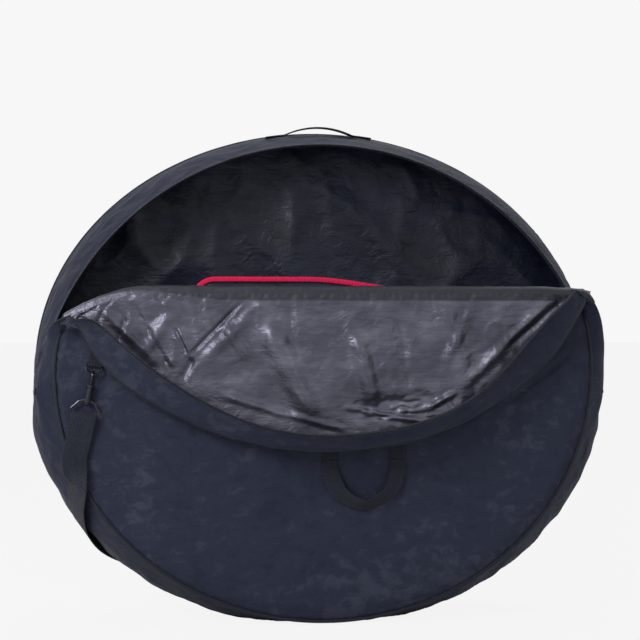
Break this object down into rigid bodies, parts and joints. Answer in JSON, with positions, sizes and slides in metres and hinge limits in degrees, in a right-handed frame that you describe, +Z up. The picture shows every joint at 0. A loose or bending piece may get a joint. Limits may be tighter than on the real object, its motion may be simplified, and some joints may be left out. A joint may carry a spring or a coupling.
{
  "type": "bike wheel bag",
  "caption": "Padded round carrying bag for a pair of bicycle wheels, standing, with its zipped front flap folded down, an inner divider, grab handles and a clip-on shoulder strap.",
  "frame": {"origin": "middle of the flat patch of the base that the bag stands on", "axes": "+X to the right as the front is looked at, +Y to the back, +Z up"},
  "size_m": [0.9136, 0.2862, 0.7735],
  "materials": {
    "outer_fabric": "woven polyester, matte, faint tonal mottle",
    "flap_lining_cloth": "coated ripstop, silver grey, soft sheen",
    "inner_lining_cloth": "coated black lining, crinkled sheen",
    "foam": "closed-cell foam, hidden",
    "webbing": "woven polyester webbing",
    "piping_cord": "corded seam piping",
    "zip_cloth": "coil zip on woven tape",
    "red_binding": "folded red binding tape",
    "dark_metal": "gunmetal plated, glossy",
    "black_acetal": "moulded, satin"
  },
  "bodies": {
    "bag": {"back_panel": "outer_fabric", "front_panel": "outer_fabric", "fold_roll": "outer_fabric", "lower_gusset": "outer_fabric", "rear_gusset": "outer_fabric", "side_gusset_left": "outer_fabric", "side_gusset_right": "outer_fabric", "back_panel_lining": "inner_lining_cloth", "front_panel_lining": "inner_lining_cloth", "divider_panel": "inner_lining_cloth", "back_panel_foam": "foam", "front_panel_foam": "foam", "zip_end_tab_left": "webbing", "zip_end_tab_right": "webbing", "handle_anchor_left": "webbing", "handle_anchor_right": "webbing", "top_handle": "webbing", "d_ring_tab_left": "webbing", "d_ring_tab_right": "webbing", "shoulder_strap": "webbing", "back_piping": "piping_cord", "front_piping": "piping_cord", "rear_zip_tape": "zip_cloth", "side_zip_tape_left": "zip_cloth", "side_zip_tape_right": "zip_cloth", "divider_binding": "red_binding", "strap_eye_left": "dark_metal", "strap_eye_right": "dark_metal"},
    "flap": {"flap_panel": "outer_fabric", "flap_foam": "foam", "flap_lining": "flap_lining_cloth", "flap_gusset": "outer_fabric", "flap_piping": "piping_cord", "flap_zip_tape": "zip_cloth"},
    "front_handle": {"front_handle": "webbing"},
    "strap_glide": {"strap_glide": "black_acetal"},
    "zip_slider_left": {"zip_slider_left": "dark_metal"},
    "zip_puller_left": {"zip_puller_left": "black_acetal"},
    "d_ring_left": {"d_ring_left": "dark_metal"},
    "snap_hook_left": {"snap_hook_left": "dark_metal"},
    "hook_gate_left": {"hook_gate_left": "dark_metal"},
    "zip_slider_right": {"zip_slider_right": "dark_metal"},
    "zip_puller_right": {"zip_puller_right": "black_acetal"},
    "d_ring_right": {"d_ring_right": "dark_metal"},
    "snap_hook_right": {"snap_hook_right": "dark_metal"},
    "hook_gate_right": {"hook_gate_right": "dark_metal"}
  },
  "joints": [
    {"name": "flap_fold", "type": "hinge", "parent": "bag", "child": "flap", "pos_m": [0, -0.105, 0.512], "axis": [-1, 0, 0], "range_deg": [0, 180]},
    {"name": "handle_swing", "type": "hinge", "parent": "bag", "child": "front_handle", "pos_m": [0.055, -0.0962, 0.25], "axis": [-1, 0, 0], "range_deg": [0, 60]},
    {"name": "glide_slide", "type": "slide", "parent": "bag", "child": "strap_glide", "axis": [0.997, 0, 0.0778], "range_m": [-0.03, 0.03]},
    {"name": "zip_travel_left", "type": "hinge", "parent": "bag", "child": "zip_slider_left", "pos_m": [0, -0.035, 0.29], "axis": [0, 1, 0], "range_deg": [0, 72.5]},
    {"name": "puller_swing_left", "type": "hinge", "parent": "zip_slider_left", "child": "zip_puller_left", "pos_m": [-0.43456, -0.035, 0.41215], "axis": [0, 1, 0], "range_deg": [0, 115]},
    {"name": "ring_swing_left", "type": "hinge", "parent": "bag", "child": "d_ring_left", "pos_m": [-0.35, -0.0989, 0.395], "axis": [0.9781, 0, -0.2079], "range_deg": [0, 8]},
    {"name": "hook_swivel_left", "type": "hinge", "parent": "bag", "child": "snap_hook_left", "pos_m": [-0.35, -0.1042, 0.395], "axis": [0.2079, 0, 0.9781], "range_deg": [-15, 15]},
    {"name": "gate_open_left", "type": "hinge", "parent": "snap_hook_left", "child": "hook_gate_left", "pos_m": [-0.35606, -0.11046, 0.3665], "axis": [-0.9781, 0, 0.2079], "range_deg": [0, 25], "stiffness_Nm_per_rad": 0.02, "springref_deg": -11.46},
    {"name": "zip_travel_right", "type": "hinge", "parent": "bag", "child": "zip_slider_right", "pos_m": [0, -0.035, 0.29], "axis": [0, -1, 0], "range_deg": [0, 72.5]},
    {"name": "puller_swing_right", "type": "hinge", "parent": "zip_slider_right", "child": "zip_puller_right", "pos_m": [0.43456, -0.035, 0.41215], "axis": [0, -1, 0], "range_deg": [0, 115]},
    {"name": "ring_swing_right", "type": "hinge", "parent": "bag", "child": "d_ring_right", "pos_m": [0.35, 0.0989, 0.395], "axis": [-0.9397, 0, 0.342], "range_deg": [0, 8]},
    {"name": "hook_swivel_right", "type": "hinge", "parent": "bag", "child": "snap_hook_right", "pos_m": [0.35, 0.1042, 0.395], "axis": [0.342, 0, 0.9397], "range_deg": [-15, 15]},
    {"name": "gate_open_right", "type": "hinge", "parent": "snap_hook_right", "child": "hook_gate_right", "pos_m": [0.34004, 0.11046, 0.36762], "axis": [0.9397, 0, -0.342], "range_deg": [0, 25], "stiffness_Nm_per_rad": 0.02, "springref_deg": -11.46}
  ]
}
